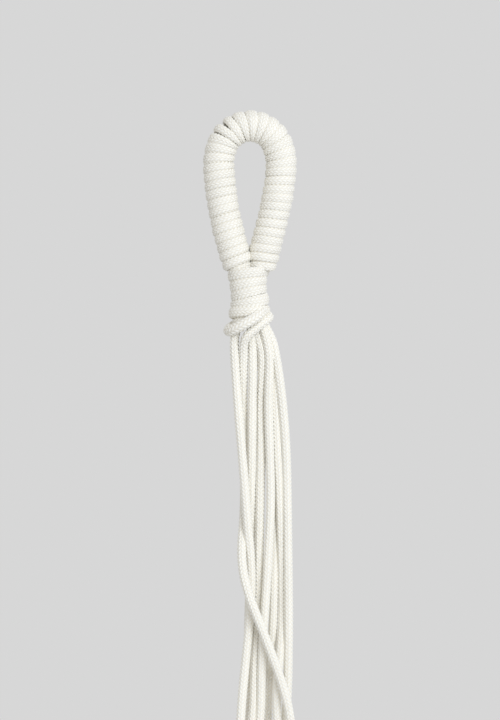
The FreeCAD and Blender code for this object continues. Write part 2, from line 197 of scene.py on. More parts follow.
# The slanting last turn, from behind the neck on the right, across the front and back again.
HITCH_TURN = [
    (.0030, .0084, -.0905), (.0058, .0058, -.0898), (.0074, .0010, -.0895),
    (.0072, -.0056, -.0898), (.0046, -.0106, -.0922), (.0006, -.0126, -.0949),
    (-.0040, -.0123, -.0973), (-.0080, -.0096, -.0994), (-.0107, -.0046, -.1003),
    (-.0106, .0014, -.0992), (-.0078, .0062, -.0970), (-.0030, .0090, -.0944),
    (.0020, .0096, -.0926), (.0052, .0072, -.0916),
]

# The neck's thickness and how round it is, at distances below the hook.
NECK_RADII = [
    (.0655, .0098), (.0708, .0088), (.0742, .0084), (.0776, .0081), (.0844, .0085),
    (.0878, .0090), (.0912, .0094), (.0945, .0096),
]
NECK_DEPTHS = [(.0655, .86), (.0708, .96), (.0780, 1.0), (.0945, .96)]

# One cord through an overhand knot about its own middle: down the middle, out at the front,
# once round and down the middle again.  Its partner is the same line turned upside down.
KNOT_IN = [
    (.0024, .0008, .0105), (.0019, .0019, .0060), (-.0007, .0026, .0020),
    (-.0026, .0007, -.0020), (-.0021, -.0021, -.0062), (-.0016, -.0048, -.0088),
    (.0012, -.0070, -.0083),
]
KNOT_OUT = [
    (-.0008, -.0050, .0024), (.0014, -.0028, .0006), (.0026, -.0007, -.0020),
    (.0019, .0019, -.0060), (.0024, .0008, -.0105),
]


# ---------------------------------------------------------------- settings


def length_prop(name, description, default):
    """A length in metres for one of the groups below."""
    return bpy.props.FloatProperty(name=name, description=description, default=default,
                                   precision=5, unit="LENGTH", subtype="DISTANCE")


def share_prop(name, description, default, highest=1.0):
    """A plain factor for one of the groups below."""
    return bpy.props.FloatProperty(name=name, description=description, default=default,
                                   min=0.0, max=highest, subtype="FACTOR")


def colour_prop(name, description, default):
    """A colour for one of the groups below."""
    return bpy.props.FloatVectorProperty(name=name, description=description, default=default,
                                         size=3, min=0.0, max=1.0, subtype="COLOR")


class CordSettings(bpy.types.PropertyGroup):
    """The braided cord that everything is made of."""
    diameter: length_prop("Diameter", "A cord that hangs free", .0050)
    packed: length_prop("Packed diameter", "The same cord squeezed in a wrap or knot", .0043)
    stitch: length_prop("Stitch", "Length of one stitch along the cord", .0021)
    relief: length_prop("Relief", "Depth of the valleys between stitches", .00055)
    carriers: bpy.props.IntProperty(
        name="Carriers", description="Yarns going each way round the braid", default=8, min=4)


class WrapSettings(bpy.types.PropertyGroup):
    """The cord wound round the loop, the neck and the gathering."""
    thickness: length_prop("Thickness", "Of the wound cord, outwards", .0037)
    loop_radius: length_prop("Loop radius", "Loop's centreline to the wound cord's", .00665)
    loop_pitch: length_prop("Loop pitch", "From turn to turn along the loop", .0046)
    widest: length_prop("Widest", "As far as the wound cord flattens", .0069)
    loose: length_prop("Loose", "Its width where the turns stand apart", .0051)
    neck_pitch: length_prop("Neck pitch", "From turn to turn down the neck", .0052)
    gather_pitch: length_prop("Gather pitch", "From turn to turn of the gathering", .0047)
    gather_radius: length_prop("Gather radius", "Hanger's axis to the wound cord", .00835)


class KnotSettings(bpy.types.PropertyGroup):
    """The overhand knots that tie two cords together."""
    ring: length_prop("Ring", "Knot centres from the hanger's axis", .0134)
    height: length_prop("Height", "Top to bottom of a knot", .0210)
    wrap_radius: length_prop("Wrap radius", "Knot's axis to the cord round it", .0070)
    rise: length_prop("Rise", "Climb of that cord in one turn", .0092)


class CottonSettings(bpy.types.PropertyGroup):
    """The finish of the cotton."""
    cord: colour_prop("Cord", "Natural cotton in full light", (.965, .955, .905))
    # The valley colour is painted shade: it darkens and warms the cotton between its stitches,
    # where shade falls.
    valley_shade: colour_prop("Valley", "The same between its stitches", (.90, .84, .71))
    sheen: share_prop("Sheen", "Soft light off the loose fibres", .12)
    fuzz: share_prop("Fuzz", "How far the fibres roughen the surface", .55)


class StageSettings(bpy.types.PropertyGroup):
    """Camera, lights and floor."""
    distance: length_prop("Distance", "Camera to the hanger's axis", 1.6)
    view_height: length_prop("View height", "Seen from top to bottom at the axis", .3816)
    view_x: length_prop("View middle X", "Middle of the view", .0005)
    view_z: length_prop("View middle Z", "Middle of the view", -.1155)
    floor_drop: length_prop("Floor", "Below the origin", 1.25)
    floor_radius: length_prop("Floor radius", "Centre to edge of the floor", 6.0)
    room: share_prop("Room light", "Tone of the pale surroundings", .68)
    key: bpy.props.FloatProperty(name="Key light", description="Power of the main light",
                                 default=24.5, unit="POWER")
    key_size: length_prop("Key size", "Across the main light", 1.3)
    key_colour: colour_prop("Key colour", "Colour of the main light", (.88, .93, 1.0))


class HangerSettings(bpy.types.PropertyGroup):
    """All the settings of the hanger."""
    cord: bpy.props.PointerProperty(type=CordSettings)
    wrap: bpy.props.PointerProperty(type=WrapSettings)
    knot: bpy.props.PointerProperty(type=KnotSettings)
    cotton: bpy.props.PointerProperty(type=CottonSettings)
    stage: bpy.props.PointerProperty(type=StageSettings)


# Where each kind of piece starts its own series of chance draws.
SEEDS = {"hanging": 0, "net": 100, "base": 200, "tassel": 300, "loop": 401, "neck": 431,
         "hitch": 441, "core": 450, "packed": 470, "gather": 481, "knots": 500}


# ---------------------------------------------------------------- lines


def spline_line(points):
    """Close points along the NURBS spline that has these control points."""
    curve = bpy.data.curves.new("route", "CURVE")
    curve.dimensions = "3D"
    curve.resolution_u = 40
    spline = curve.splines.new("NURBS")
    spline.points.add(len(points) - 1)
    for point, place in zip(spline.points, points):
        point.co = (*place, 1.0)
    spline.order_u = 3
    spline.use_endpoint_u = True
    bare = bpy.data.objects.new("route", curve)
    mesh = bpy.data.meshes.new_from_object(bare)
    line = np.array([vertex.co for vertex in mesh.vertices])
    bpy.data.meshes.remove(mesh)
    bpy.data.curves.remove(curve)
    return line


def travelled(line):
    """Distance along a line at each of its points."""
    steps = np.linalg.norm(np.diff(line, axis=0), axis=1)
    return np.concatenate([[0.0], np.cumsum(steps)])


def evenly(line, step):
    """The line again, with points about one step apart."""
    along = travelled(line)
    stops = np.linspace(0.0, along[-1], max(2, round(along[-1] / step) + 1))
    return np.stack([np.interp(stops, along, line[:, k]) for k in range(3)], axis=1)


def unit(vectors):
    """Vectors scaled to length one."""
    return vectors / np.linalg.norm(vectors, axis=-1, keepdims=True)


def headings(line):
    """Direction of travel at each point of a line."""
    return unit(np.gradient(line, axis=0))


def carried_normals(line):
    """Directions square to the line that don't twist as they go along it."""
    ahead = headings(line)
    normal = np.cross(ahead[0], [0.0, 1.0, 0.0])
    if np.linalg.norm(normal) < 0.1:
        normal = np.cross(ahead[0], [1.0, 0.0, 0.0])
    normals = []
    for direction in ahead:
        normal = normal - direction * normal.dot(direction)
        normal = normal / np.linalg.norm(normal)
        normals.append(normal)
    return np.array(normals)


def turned(points, angle, mirrored=False):
    """A route turned round the hanger's axis, and mirrored in the XZ plane first if asked."""
    points = np.array(points, float)
    if mirrored:
        points = points * (1.0, -1.0, 1.0)
    c, s = math.cos(angle), math.sin(angle)
    return points @ np.array([[c, s, 0.0], [-s, c, 0.0], [0.0, 0.0, 1.0]])


def smooth(share):
    """Ease from 0 to 1."""
    share = np.clip(share, 0.0, 1.0)
    return share * share * (3.0 - 2.0 * share)


def wandering(along, spacing, amount, seed):
    """Small uneven shifts along a line, the same ones each time."""
    count = max(4, int(along[-1] / spacing) + 2)
    knots = np.random.default_rng(seed).uniform(-amount, amount, count)
    place = along / along[-1] * (count - 1)
    before = np.minimum(place.astype(int), count - 2)
    share = smooth(place - before)
    return knots[before] * (1.0 - share) + knots[before + 1] * share


# ---------------------------------------------------------------- skin of the cord

# How much a cord's thickness wanders and over what length, and how thin a hidden end is.
UNEVEN = .02
UNEVEN_EVERY = .012
OVAL_EVERY = .020
HIDDEN_END = .72

# Rings for each stitch, on the cords that are seen alone and on the wound and hidden ones.
FINE = 5
COARSE = 4


def stitch_height(a, b):
    """Height from 0 to 1 of a braid that goes two over, two under.

    a and b count the yarns crossed by each family, and a stitch is two of them long.
    """
    phase = np.mod(np.floor(a) + np.floor(b), 4.0)
    first = phase < 2.0
    fa, fb = np.mod(a, 1.0), np.mod(b, 1.0)
    across = np.where(first, fa, fb)
    along = np.where(first, fb + phase, fa + phase - 2.0) / 2.0
    return np.sqrt(np.abs(np.sin(np.pi * across) * np.sin(np.pi * along)))


def skin(line, normals, half_out, half_wide, samples=FINE, squareness=2.0):
    """Rings of a braided cord along a line, with the braid's own coordinates.

    half_out is the cord's half thickness along the normals and half_wide the one across, each a
    number or one for every point.  Its stitches are raised on the surface.
    """
    cord = bpy.context.scene.hanger.cord
    ahead = headings(line)
    across = np.cross(ahead, normals)
    count = cord.carriers * samples
    angle = np.arange(count) * FULL_TURN / count
    out, wide = np.cos(angle)[None, :], np.sin(angle)[None, :]
    half_out = np.broadcast_to(half_out, len(line))[:, None]
    half_wide = np.broadcast_to(half_wide, len(line))[:, None]
    reach = (np.abs(out / half_out) ** squareness
             + np.abs(wide / half_wide) ** squareness) ** (-1.0 / squareness)
    u = np.arange(count + 1) / samples
    v = travelled(line) / cord.stitch
    height = stitch_height(u[None, :-1] + v[:, None], u[None, :-1] - v[:, None])
    reach = reach - cord.relief * (1.0 - height)
    points = (line[:, None, :] + (reach * out)[..., None] * normals[:, None, :]
              + (reach * wide)[..., None] * across[:, None, :])
    return points, u, v


def ring_step(samples=FINE):
    """Distance between rings that puts them on the braid's own lattice."""
    return bpy.context.scene.hanger.cord.stitch / samples


def round_skin(line, diameter, seed, samples=FINE, hidden_ends=False):
    """The skin of a free cord, a little uneven in thickness.

    Hidden ends narrow, to stay inside the cords that carry on from them.
    """
    along = travelled(line)
    uneven = 1.0 + wandering(along, UNEVEN_EVERY, UNEVEN, seed)
    if hidden_ends:
        ends = smooth(np.minimum(along, along[-1] - along) / diameter)
        uneven *= HIDDEN_END + (1.0 - HIDDEN_END) * ends
    oval = wandering(along, OVAL_EVERY, UNEVEN, seed + 1)
    half = diameter / 2 * uneven
    return skin(line, carried_normals(line), half * (1.0 + oval), half * (1.0 - oval), samples)


def closed_mesh(name, skins):
    """A mesh of one or more cord skins, each closed at both ends, with its braid coordinates."""
    vertices, faces, uvs, base = [], [], [], 0
    for points, u, v in skins:
        rings, count = points.shape[:2]
        poles = [2 * points[0].mean(0) - points[1].mean(0),
                 2 * points[-1].mean(0) - points[-2].mean(0)]
        vertices += [points.reshape(-1, 3), np.array(poles)]
        i, j = np.meshgrid(np.arange(rings - 1), np.arange(count), indexing="ij")
        after = (j + 1) % count
        quads = np.stack([i * count + j, i * count + after,
                          (i + 1) * count + after, (i + 1) * count + j], axis=-1)
        faces += (quads.reshape(-1, 4) + base).tolist()
        corner_u = np.stack([u[j], u[j + 1], u[j + 1], u[j]], axis=-1)
        corner_v = np.stack([v[i], v[i], v[i + 1], v[i + 1]], axis=-1)
        uvs.append(np.stack([corner_u, corner_v], axis=-1).reshape(-1, 2))
        for pole, ring, order in ((0, 0, -1), (1, rings - 1, 1)):
            j = np.arange(count)
            after = (j + 1) % count
            pair = (j, after) if order > 0 else (after, j)
            middle = np.full(count, rings * count + pole)
            fan = np.stack([middle, ring * count + pair[0], ring * count + pair[1]], axis=-1)
            faces += (fan + base).tolist()
            edge = (u[j], u[j + 1]) if order > 0 else (u[j + 1], u[j])
            level = np.full(count, v[ring])
            fan_uv = np.stack([np.stack([(u[j] + u[j + 1]) / 2, level + order], axis=-1),
                               np.stack([edge[0], level], axis=-1),
                               np.stack([edge[1], level], axis=-1)], axis=1)
            uvs.append(fan_uv.reshape(-1, 2))
        base += rings * count + 2
    mesh = bpy.data.meshes.new(name)
    mesh.from_pydata(np.concatenate(vertices).tolist(), [], faces)
    layer = mesh.uv_layers.new(name="braid")
    layer.data.foreach_set("uv", np.concatenate(uvs).astype(np.float32).ravel())
    mesh.shade_smooth()
    return mesh


def piece(name, skins, finish, nodes):
    """A piece of the hanger in the scene, with its finish; the CAD nodes that it stands for are
    hidden.
    """
    made = bpy.data.objects.new(f"{name}_cord", closed_mesh(f"{name}_cord", skins))
    bpy.context.scene.collection.objects.link(made)
    made.data.materials.append(finish)
    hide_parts(*nodes)
    return made


# ---------------------------------------------------------------- finish


class Nodes:
    """A node tree with short ways to add what the cotton needs."""

    def __init__(self, tree):
        self.tree = tree

    def add(self, kind, **settings):
        """A node of that kind, with its settings."""
        node = self.tree.nodes.new(kind)
        for key, value in settings.items():
            setattr(node, key, value)
        return node

    def feed(self, socket, value):
        """Link an output to a socket, or set its constant."""
        if isinstance(value, bpy.types.NodeSocket):
            self.tree.links.new(value, socket)
        else:
            socket.default_value = value

    def math(self, operation, *values):
        """One arithmetic step."""
        node = self.add("ShaderNodeMath", operation=operation)
        for socket, value in zip(node.inputs, values):
            self.feed(socket, value)
        return node.outputs[0]

    def blend(self, share, first, second):
        """A colour between two."""
        node = self.add("ShaderNodeMix", data_type="RGBA")
        self.feed(node.inputs["Factor"], share)
        self.feed(node.inputs[6], first)
        self.feed(node.inputs[7], second)
        return node.outputs[2]

    def choose(self, test, if_true, if_false):
        """One of two numbers."""
        node = self.add("ShaderNodeMix", data_type="FLOAT")
        self.feed(node.inputs["Factor"], test)
        self.feed(node.inputs[2], if_false)
        self.feed(node.inputs[3], if_true)
        return node.outputs[0]

    def noise(self, vector, scale, detail):
        """Soft noise from 0 to 1."""
        node = self.add("ShaderNodeTexNoise")
        self.feed(node.inputs["Vector"], vector)
        self.feed(node.inputs["Scale"], scale)
        self.feed(node.inputs["Detail"], detail)
        return node.outputs["Fac"]


# The fibres in a stitch, across and along it, and how far apart two yarns lie in the noise;
# then the scales of slow change along a cord and of the fluff on it.
FIBRES_ACROSS = 7.0
FIBRES_ALONG = 1.3
YARN_STEP = 3.7
DRIFT_SCALE = 60.0
FLUFF_SCALE = 2600.0


def braid_group():
    """The shared braid: colour, roughness and height of stitches and the fibres in them, with
    painted shade in the valleys between the stitches.
    """
    group = bpy.data.node_groups.new("braided_cotton", "ShaderNodeTree")
    for name, kind, default in (("Braid", "NodeSocketVector", (0.0, 0.0, 0.0)),
                                ("Place", "NodeSocketVector", (0.0, 0.0, 0.0)),
                                ("Cord Colour", "NodeSocketColor", (.9, .9, .8, 1.0)),
                                ("Painted Valley Shade", "NodeSocketColor", (.7, .7, .6, 1.0)),
                                ("Fuzz", "NodeSocketFloat", .5)):
        socket = group.interface.new_socket(name=name, in_out="INPUT", socket_type=kind)
        socket.default_value = default
    for name, kind in (("Colour", "NodeSocketColor"), ("Roughness", "NodeSocketFloat"),
                       ("Height", "NodeSocketFloat")):
        group.interface.new_socket(name=name, in_out="OUTPUT", socket_type=kind)
    net = Nodes(group)
    given = net.add("NodeGroupInput").outputs
    split = net.add("ShaderNodeSeparateXYZ")
    net.feed(split.inputs[0], given["Braid"])
    a = net.math("ADD", split.outputs[0], split.outputs[1])
    b = net.math("SUBTRACT", split.outputs[0], split.outputs[1])
    floor_a, floor_b = net.math("FLOOR", a), net.math("FLOOR", b)
    frac_a, frac_b = net.math("SUBTRACT", a, floor_a), net.math("SUBTRACT", b, floor_b)
    phase = net.math("FLOORED_MODULO", net.math("ADD", floor_a, floor_b), 4.0)
    first = net.math("LESS_THAN", phase, 1.5)
    across = net.choose(first, frac_a, frac_b)
    travel = net.choose(first, net.math("ADD", frac_b, phase),
                        net.math("SUBTRACT", net.math("ADD", frac_a, phase), 2.0))
    arch = net.math("MULTIPLY", net.math("SINE", net.math("MULTIPLY", across, math.pi)),
                    net.math("SINE", net.math("MULTIPLY", travel, math.pi / 2)))
    stitch = net.math("POWER", net.math("MAXIMUM", arch, 0.0), 0.5)

    fibre_place = net.add("ShaderNodeCombineXYZ")
    net.feed(fibre_place.inputs[0], net.math("MULTIPLY", across, FIBRES_ACROSS))
    net.feed(fibre_place.inputs[1], net.math("MULTIPLY", travel, FIBRES_ALONG))
    yarn = net.choose(first, floor_a, net.math("ADD", floor_b, 0.5))
    net.feed(fibre_place.inputs[2], net.math("MULTIPLY", yarn, YARN_STEP))
    fibres = net.noise(fibre_place.outputs[0], 1.0, 3.0)
    drift = net.noise(given["Place"], DRIFT_SCALE, 2.0)
    fluff = net.noise(given["Place"], FLUFF_SCALE, 3.0)

    # Painted shade: the valleys between stitches blend towards the darker valley colour.
    shaded_tint = net.blend(stitch, given["Painted Valley Shade"], given["Cord Colour"])
    shade = net.math("MULTIPLY_ADD", fibres, 0.08, 0.94)
    shade = net.math("MULTIPLY", shade, net.math("MULTIPLY_ADD", drift, 0.06, 0.97))
    scaled = net.add("ShaderNodeVectorMath", operation="SCALE")
    net.feed(scaled.inputs[0], shaded_tint)
    net.feed(scaled.inputs["Scale"], shade)

    height = net.math("MULTIPLY", stitch, 0.45)
    height = net.math("ADD", height, net.math("MULTIPLY", fibres, given["Fuzz"]))
    height = net.math("ADD", height, net.math("MULTIPLY", fluff, net.math(
        "MULTIPLY", given["Fuzz"], 0.6)))
    result = net.add("NodeGroupOutput").inputs
    net.feed(result["Colour"], scaled.outputs[0])
    net.feed(result["Roughness"], net.math("MULTIPLY_ADD", fluff, 0.16, 0.78))
    net.feed(result["Height"], height)
    return group


# How far each finish darkens the painted shade in its valleys: the harder the cord is pressed, the
# more.
VALLEY_SHADE_DEPTH = {"hanging_cotton": 1.0, "wound_cotton": .92, "knotted_cotton": .90, "packed_cotton": .85}


def cotton(name):
    """One of the braided cotton finishes."""
    known = bpy.data.materials.get(name)
    if known:
        return known
    look = bpy.context.scene.hanger.cotton
    group = bpy.data.node_groups.get("braided_cotton") or braid_group()
    made = bpy.data.materials.new(name)
    made.use_nodes = True
    net = Nodes(made.node_tree)
    shader = made.node_tree.nodes["Principled BSDF"]
    braid = net.add("ShaderNodeGroup", node_tree=group)
    uv = net.add("ShaderNodeUVMap", uv_map="braid")
    place = net.add("ShaderNodeTexCoord")
    net.feed(braid.inputs["Braid"], uv.outputs[0])
    net.feed(braid.inputs["Place"], place.outputs["Object"])
    braid.inputs["Cord Colour"].default_value = (*look.cord, 1.0)
    # Painted shade between the stitches, deeper on the pressed cords.
    braid.inputs["Painted Valley Shade"].default_value = (*[c * VALLEY_SHADE_DEPTH[name] for c in look.valley_shade], 1.0)
    braid.inputs["Fuzz"].default_value = look.fuzz
    bump = net.add("ShaderNodeBump")
    bump.inputs["Strength"].default_value = 0.7
    bump.inputs["Distance"].default_value = 0.00016
    net.feed(bump.inputs["Height"], braid.outputs["Height"])
    net.feed(shader.inputs["Base Color"], braid.outputs["Colour"])
    net.feed(shader.inputs["Roughness"], braid.outputs["Roughness"])
    net.feed(shader.inputs["Normal"], bump.outputs[0])
    shader.inputs["Specular IOR Level"].default_value = 0.15
    shader.inputs["Sheen Weight"].default_value = look.sheen
    shader.inputs["Sheen Roughness"].default_value = 0.6
    return made


# ---------------------------------------------------------------- free cords

# How far a cord's end reaches into a knot or wrap.
KNOT_BITE = .0055
SHORT_BITE = .0022
TASSEL_BITE = .0100

# The loose yarns at the tassel's ends: how long, how thick, how far up inside they start.
FRAY = .0085
FRAY_YARN = .0013
FRAY_ROOT = .0016
FRAY_RINGS = 7
FRAY_SIDES = 6


def run_on(points, bite, at_start=False):
    """A route with one more point straight up from its start or straight down from its end."""
    points = [tuple(p) for p in points]
    if at_start:
        x, y, z = points[0]
        return [(x, y, z + bite)] + points
    x, y, z = points[-1]
    return points + [(x, y, z - bite)]


def frayed_end(line, seed):
    """The yarns of a braid come loose at the end of a line, each a thin tapering skin."""
    cord = bpy.context.scene.hanger.cord
    chance = np.random.default_rng(seed)
    down = headings(line)[-1]
    side = carried_normals(line)[-1]
    other = np.cross(down, side)
    share = np.linspace(0.0, 1.0, FRAY_RINGS)[:, None]
    skins = []
    for yarn in range(2 * cord.carriers):
        angle = (yarn + chance.uniform(-.3, .3)) * FULL_TURN / (2 * cord.carriers)
        out = math.cos(angle) * side + math.sin(angle) * other
        around = np.cross(down, out)
        reach = cord.diameter * chance.uniform(.20, .34)
        length = FRAY * chance.uniform(.65, 1.0)
        spread = chance.uniform(.05, .38) * length
        curl = chance.uniform(-.22, .22) * length
        route = (line[-1] - down * FRAY_ROOT + out * reach
                 + down * (share * (length + FRAY_ROOT))
                 + out * (share ** 2 * spread) + around * (share ** 2 * curl))
        radius = FRAY_YARN / 2 * (1.0 - .55 * share)
        turn = np.arange(FRAY_SIDES) * FULL_TURN / FRAY_SIDES
        normals = carried_normals(route)
        across = np.cross(headings(route), normals)
        points = (route[:, None, :]
                  + (radius * np.cos(turn))[..., None] * normals[:, None, :]
                  + (radius * np.sin(turn))[..., None] * across[:, None, :])
        skins.append((points, np.linspace(.3, .7, FRAY_SIDES + 1), np.zeros(FRAY_RINGS)))
    return skins


def free_cord(name, points, seed, frayed=False):
    """One free stretch of cord on its smooth route."""
    cord = bpy.context.scene.hanger.cord
    line = evenly(spline_line(points), ring_step())
    made = piece(name, [round_skin(line, cord.diameter, seed)], cotton("hanging_cotton"),
                 [name])
    ends = []
    if frayed:
        ends = [piece(f"{name}_end", frayed_end(line, seed + 2), cotton("hanging_cotton"),
                      [name])]
        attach(ends[0], "tassel")
    return made


def hanging_strands():
    """The eight strands from the neck to the rim knots."""
    for number, (name, points) in enumerate(HANGING_STRANDS.items()):
        made = free_cord(name, run_on(points, KNOT_BITE),
                         SEEDS["hanging"] + 10 * number)
        x, y, z = points[2]
        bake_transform(made)


def net_strands():
    """The eight strands of the net, from the rim knots to the base knots."""
    for number, side in enumerate(SIDES):
        for hand in ("right", "left"):
            if hand == "right":
                points = turned(NET_STRAND, number * QUARTER)
            else:
                points = turned(NET_STRAND, (number + 2) * QUARTER, mirrored=True)
            points = run_on(run_on(points, KNOT_BITE, at_start=True), SHORT_BITE)
            made = free_cord(f"net_{side}_{hand}", points,
                             SEEDS["net"] + 20 * number + len(hand))
            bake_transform(made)


def base_strands():
    """The eight strands from the base knots to the gathering wrap."""
    for number, corner in enumerate(CORNERS):
        for hand, mirrored in (("a", False), ("b", True)):
            points = turned(BASE_STRAND, (number - .5) * QUARTER, mirrored)
            points = run_on(run_on(points, KNOT_BITE, at_start=True), SHORT_BITE)
            name = f"base_{corner}_{hand}"
            made = free_cord(name, points,
                             SEEDS["base"] + 20 * number + 7 * mirrored)
            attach(made, f"{corner}_base")


def tassel():
    """The eight loose ends under the gathering wrap."""
    for number, points in enumerate(TASSEL_STRANDS, start=1):
        points = run_on(points, TASSEL_BITE, at_start=True)
        made = free_cord(f"tassel_strand_{number}", points,
                         SEEDS["tassel"] + 10 * number, frayed=True)
        x, y, z = points[1]
        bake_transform(made)


# ---------------------------------------------------------------- wound cords

# The last stretch of a winding's axis over which it sinks into the cords, and how far it sinks;
# how square the pressed cord is (2 is round); how far each turn presses into the next; and how
# much thicker than a free cord the slanting turn of the neck is.
TUCK = .0040
TUCKED = .70
SQUARENESS = 2.25
OVERLAP = 1.18
HITCH_SWELL = 1.22


def winding(axis, radius, pitch, widest, thickness, seed, depth=1.0, start=0.0):
    """The skin of a cord wound round an axis line that lies in the XZ plane.

    radius is from the axis to the wound cord, in that plane, and depth times it to the front and
    back; it and widest are numbers or one for each point of the axis.  start is how far round
    it begins, from the outer side.  Both its ends are tucked in.
    """
    run = travelled(axis)
    ahead = headings(axis)
    outward = unit(np.cross(FRONT, ahead))
    bend = -(np.gradient(ahead, run, axis=0) * outward).sum(1)
    fine = np.arange(0.0, run[-1], pitch * ring_step(COARSE) / (FULL_TURN * np.mean(radius)))

    def at(values):
        values = np.broadcast_to(values, run.shape) if np.ndim(values) == 0 else values
        return np.interp(fine, run, values)

    def vectors_at(values):
        return np.stack([at(values[:, k]) for k in range(3)], axis=1)

    shift = wandering(fine, pitch * .7, pitch * .05, seed)
    swell = 1.0 + wandering(fine, pitch * 1.3, .018, seed + 1)
    ends = np.minimum(fine, fine[-1] - fine)
    tucked = TUCKED + (1.0 - TUCKED) * smooth(ends / TUCK)
    r = at(radius) * swell * tucked
    angle = start + FULL_TURN * fine / pitch
    out, front = vectors_at(outward), np.broadcast_to(FRONT, (len(fine), 3))
    cos, sin = np.cos(angle)[:, None], np.sin(angle)[:, None]
    across = vectors_at(axis) + vectors_at(ahead) * shift[:, None]
    line = across + r[:, None] * (cos * out + at(depth)[:, None] * sin * front)
    faces = unit(at(depth)[:, None] * cos * out + sin * front)
    faces = unit(faces - headings(line) * (faces * headings(line)).sum(1, keepdims=True))
    room = pitch * (1.0 + at(bend) * r * cos[:, 0]) * OVERLAP
    wide = np.minimum(room, at(widest))
    thick = thickness * (1.0 + wandering(fine, pitch * 1.7, .05, seed + 2))
    return skin(line, faces, thick / 2, wide / 2, samples=COARSE, squareness=SQUARENESS)


def loop_wrap():
    """The close winding round the loop, its turns standing apart over the left shoulder."""
    wrap = bpy.context.scene.hanger.wrap
    axis = evenly(spline_line(LOOP_LINE), .001)
    x, z = axis[:, 0], axis[:, 2]
    shoulder = smooth((z + .001) / .004) * smooth((-.004 - x) / .004)
    widest = wrap.widest + (wrap.loose - wrap.widest) * shoulder
    foot = smooth((-.0590 - z) / .010)
    radius = wrap.loop_radius * (1.0 - .13 * foot)
    made = piece("loop_wrap", [winding(axis, radius, wrap.loop_pitch, widest, wrap.thickness,
                                       SEEDS["loop"])],
                 cotton("wound_cotton"), ["loop_wrap"])
    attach(made, "hanging_loop")


def neck_wrap():
    """The winding round the neck, and its slanting last turn."""
    wrap = bpy.context.scene.hanger.wrap
    cord = bpy.context.scene.hanger.cord
    axis = evenly(spline_line(NECK_LINE), .0005)
    radius = np.interp(-axis[:, 2], *zip(*NECK_RADII))
    depth = np.interp(-axis[:, 2], *zip(*NECK_DEPTHS))
    made = piece("neck_wrap", [winding(axis, radius, wrap.neck_pitch, wrap.widest,
                                       wrap.thickness, SEEDS["neck"], depth, math.pi)],
                 cotton("wound_cotton"), ["neck_wrap"])
    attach(made, "hanging_loop")

    line = evenly(spline_line(HITCH_TURN), ring_step())
    made = piece("hitch_turn", [round_skin(line, cord.diameter * HITCH_SWELL, SEEDS["hitch"])],
                 cotton("wound_cotton"), ["hitch_turn"])
    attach(made, "hanging_loop")


# The four cords side by side in the loop, and where their eight ends stand in the neck.
CORE_OFFSET = .0019
NECK_PACK_RADIUS = .0056


def core_cords():
    """The four long cords where they pass through the loop and the neck."""
    cord = bpy.context.scene.hanger.cord
    axis = evenly(spline_line(LOOP_LINE), .012)
    outward = unit(np.cross(FRONT, headings(axis)))
    for number, (out, front) in enumerate(((-1, -1), (1, -1), (-1, 1), (1, 1)), start=1):
        middle = axis + CORE_OFFSET * (out * outward + front * FRONT)
        angle = math.radians(22.5 if out > 0 else 67.5)
        x = NECK_PACK_RADIUS * math.cos(angle)
        y = -front * NECK_PACK_RADIUS * math.sin(angle)
        points = [(-x, y, -.0915), (-x, y, -.0800), *middle, (x, y, -.0800), (x, y, -.0915)]
        line = evenly(spline_line(points), ring_step(COARSE))
        name = f"core_cord_{number}"
        made = piece(name, [round_skin(line, cord.packed, SEEDS["core"] + number, COARSE)],
                     cotton("packed_cotton"), [name, "neck_core"])
        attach(made, "hanging_loop")


def gathering():
    """The eight strands through the gathering, and the winding round them."""
    wrap = bpy.context.scene.hanger.wrap
    cord = bpy.context.scene.hanger.cord
    low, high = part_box("gather_wrap")
    skins = []
    for number in range(8):
        angle = (number + .5) * QUARTER / 2
        x, y = NECK_PACK_RADIUS * math.cos(angle), NECK_PACK_RADIUS * math.sin(angle)
        points = [(x, y, high.z), (x, y, high.z - .013), (x, y, low.z + .013), (x, y, low.z)]
        line = evenly(spline_line(points), ring_step(COARSE))
        skins.append(round_skin(line, cord.packed, SEEDS["packed"] + number, COARSE))
    made = piece("gather_core", skins, cotton("packed_cotton"), ["gather_core"])
    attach(made, "gathering")

    half = wrap.gather_pitch / 2
    axis = evenly(np.array([(0, 0, high.z - half), (0, 0, low.z + half)]), .0005)
    made = piece("gather_wrap", [winding(axis, wrap.gather_radius, wrap.gather_pitch,
                                         wrap.widest, wrap.thickness, SEEDS["gather"])],
                 cotton("wound_cotton"), ["gather_wrap"])
    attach(made, "gathering")


# ---------------------------------------------------------------- knots


def knot_lines():
    """The two cords of an overhand knot about its own middle."""
    knot = bpy.context.scene.hanger.knot
    packed = bpy.context.scene.hanger.cord.packed
    corner_radius = knot.wrap_radius / math.cos(math.radians(15))
    round_it = []
    for degrees in range(-60, 241, 30):
        angle = math.radians(degrees)
        climb = knot.rise * ((degrees + 90) / 360 - .5) - packed / 2
        round_it.append((corner_radius * math.cos(angle), corner_radius * math.sin(angle), climb))
    first = spline_line(KNOT_IN + round_it + KNOT_OUT)
    return [first, first[::-1] * (-1.0, 1.0, -1.0)]


def knots():
    """The rim knots and the base knots, one pattern tied eight times."""
    knot = bpy.context.scene.hanger.knot
    packed = bpy.context.scene.hanger.cord.packed
    pattern = knot_lines()
    places = [(f"rim_knot_{side}", f"{side}_arm", (n - 1) * QUARTER)
              for n, side in enumerate(SIDES)]
    places += [(f"base_knot_{corner}", f"{corner}_base", (n - .5) * QUARTER)
               for n, corner in enumerate(CORNERS)]
    for number, (name, body, heading) in enumerate(places):
        low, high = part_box(name)
        middle = np.array((low + high) / 2)
        skins = []
        for half, line in enumerate(pattern):
            posed = turned(evenly(line, ring_step()), heading + QUARTER) + middle
            skins.append(round_skin(posed, packed, SEEDS["knots"] + 20 * number + 5 * half,
                                    hidden_ends=True))
        made = piece(name, skins, cotton("knotted_cotton"), [name])
        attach(made, body)


# ---------------------------------------------------------------- stage


FLOOR_DEPTH = .03
FLOOR_TONE = .72
KEY_PLACE = (.85, -1.85, .40)


